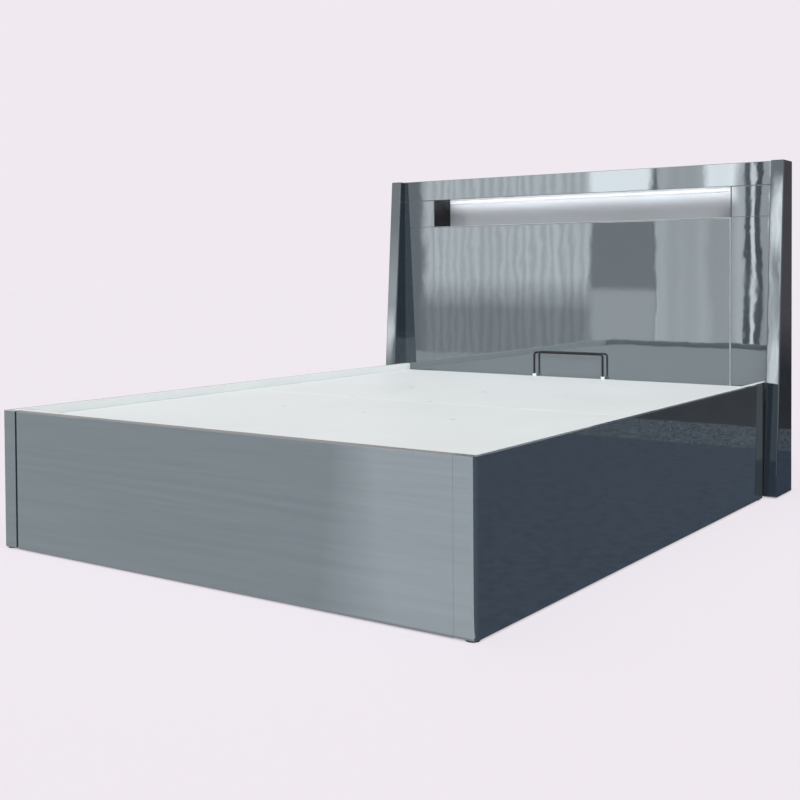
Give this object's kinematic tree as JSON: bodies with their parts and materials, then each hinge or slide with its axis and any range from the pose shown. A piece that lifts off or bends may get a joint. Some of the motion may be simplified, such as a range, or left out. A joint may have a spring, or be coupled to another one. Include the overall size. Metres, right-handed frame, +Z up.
{
  "type": "ottoman bed",
  "caption": "Gloss grey storage bed with a white lift-up deck on a gas-strut linkage, a panel headboard with wedge pillars and a lit niche, and a steel mattress hoop.",
  "frame": {"origin": "on the floor, under the middle of the bed's bounding box", "axes": "+X to the right seen from the foot, +Y towards the headboard, +Z up"},
  "size_m": [1.668, 2.1804, 1.172],
  "materials": {
    "gloss_grey": "high-gloss grey laminate on board",
    "white_board": "white melamine-faced board",
    "plain_timber": "plain timber and board",
    "black_plastic": "matt black",
    "niche_black": "gloss black",
    "niche_gloss": "gloss pale grey",
    "black_steel": "black powder coat",
    "zinc_steel": "bright zinc",
    "chrome_rod": "polished chrome",
    "led_aluminium": "anodised",
    "led_cover": "opal diffuser, lit",
    "white_plastic": "white"
  },
  "bodies": {
    "bed_base": {"foot_panel": "gloss_grey", "foot_post_left": "gloss_grey", "foot_post_right": "gloss_grey", "side_rail_left": "gloss_grey", "side_rail_right": "gloss_grey", "carcass_side_left": "white_board", "carcass_side_right": "white_board", "carcass_foot": "white_board", "carcass_head": "white_board", "shadow_strips": "black_plastic", "floor_board_front": "white_board", "floor_board_rear": "white_board", "floor_battens": "plain_timber", "glides": "black_plastic", "deck_ledgers": "plain_timber", "corner_brackets": "zinc_steel", "screws": "zinc_steel", "head_bolts": "zinc_steel", "pillar_left": "gloss_grey", "pillar_right": "gloss_grey", "head_base_panel": "gloss_grey", "head_center_panel": "gloss_grey", "head_top_panel": "gloss_grey", "head_side_block_left": "gloss_grey", "head_side_block_right": "gloss_grey", "head_end_left": "gloss_grey", "head_end_right": "gloss_grey", "head_bottom": "plain_timber", "head_cap": "gloss_grey", "head_back_panel": "plain_timber", "niche_shelf": "niche_gloss", "niche_ceiling": "niche_gloss", "niche_end_left": "niche_black", "niche_end_right": "niche_black", "niche_back": "niche_gloss", "led_profile": "led_aluminium", "led_diffuser": "led_cover", "base_plate_left": "black_steel", "base_plate_right": "black_steel", "base_pins": "zinc_steel"},
    "lift_arms": {"lift_arm_left": "black_steel", "lift_arm_right": "black_steel"},
    "guide_arms": {"guide_arm_left": "black_steel", "guide_arm_right": "black_steel"},
    "strut_cylinders": {"strut_cylinder_left": "black_steel", "strut_cylinder_right": "black_steel"},
    "strut_rods": {"strut_rod_left": "chrome_rod", "strut_rod_right": "chrome_rod"},
    "deck": {"deck_board_front": "white_board", "deck_board_rear": "white_board", "deck_frame_sides": "black_steel", "deck_frame_cross": "black_steel", "deck_bracket_left": "black_steel", "deck_bracket_right": "black_steel", "deck_pins": "zinc_steel", "deck_bolts": "zinc_steel", "mattress_hoop": "black_steel", "hoop_sockets": "white_plastic"}
  },
  "joints": [
    {"name": "lift_arm_swing", "type": "hinge", "parent": "bed_base", "child": "lift_arms", "pos_m": [0, 0.2898, 0.1], "axis": [1, 0, 0], "range_deg": [0, 26]},
    {"name": "deck_lift", "type": "hinge", "parent": "lift_arms", "child": "deck", "pos_m": [0, 0.6968, 0.267], "axis": [-1, 0, 0], "range_deg": [0, 65.71]},
    {"name": "guide_arm_swing", "type": "hinge", "parent": "bed_base", "child": "guide_arms", "pos_m": [0, 0.5688, 0.288], "axis": [1, 0, 0], "range_deg": [0, 48]},
    {"name": "strut_swing", "type": "hinge", "parent": "bed_base", "child": "strut_cylinders", "pos_m": [0, 0.6338, 0.082], "axis": [1, 0, 0], "range_deg": [0, 31]},
    {"name": "strut_extend", "type": "slide", "parent": "strut_cylinders", "child": "strut_rods", "axis": [0, 0.5281, 0.8492], "range_m": [0, 0.081]}
  ],
  "couplings": [
    {"joint": "lift_arm_swing", "follows": "deck_lift", "ratio": 0.39129},
    {"joint": "guide_arm_swing", "follows": "deck_lift", "ratio": 0.72625},
    {"joint": "strut_swing", "follows": "deck_lift", "ratio": 0.46308},
    {"joint": "strut_extend", "follows": "deck_lift", "m_per_rad": 0.070126}
  ]
}
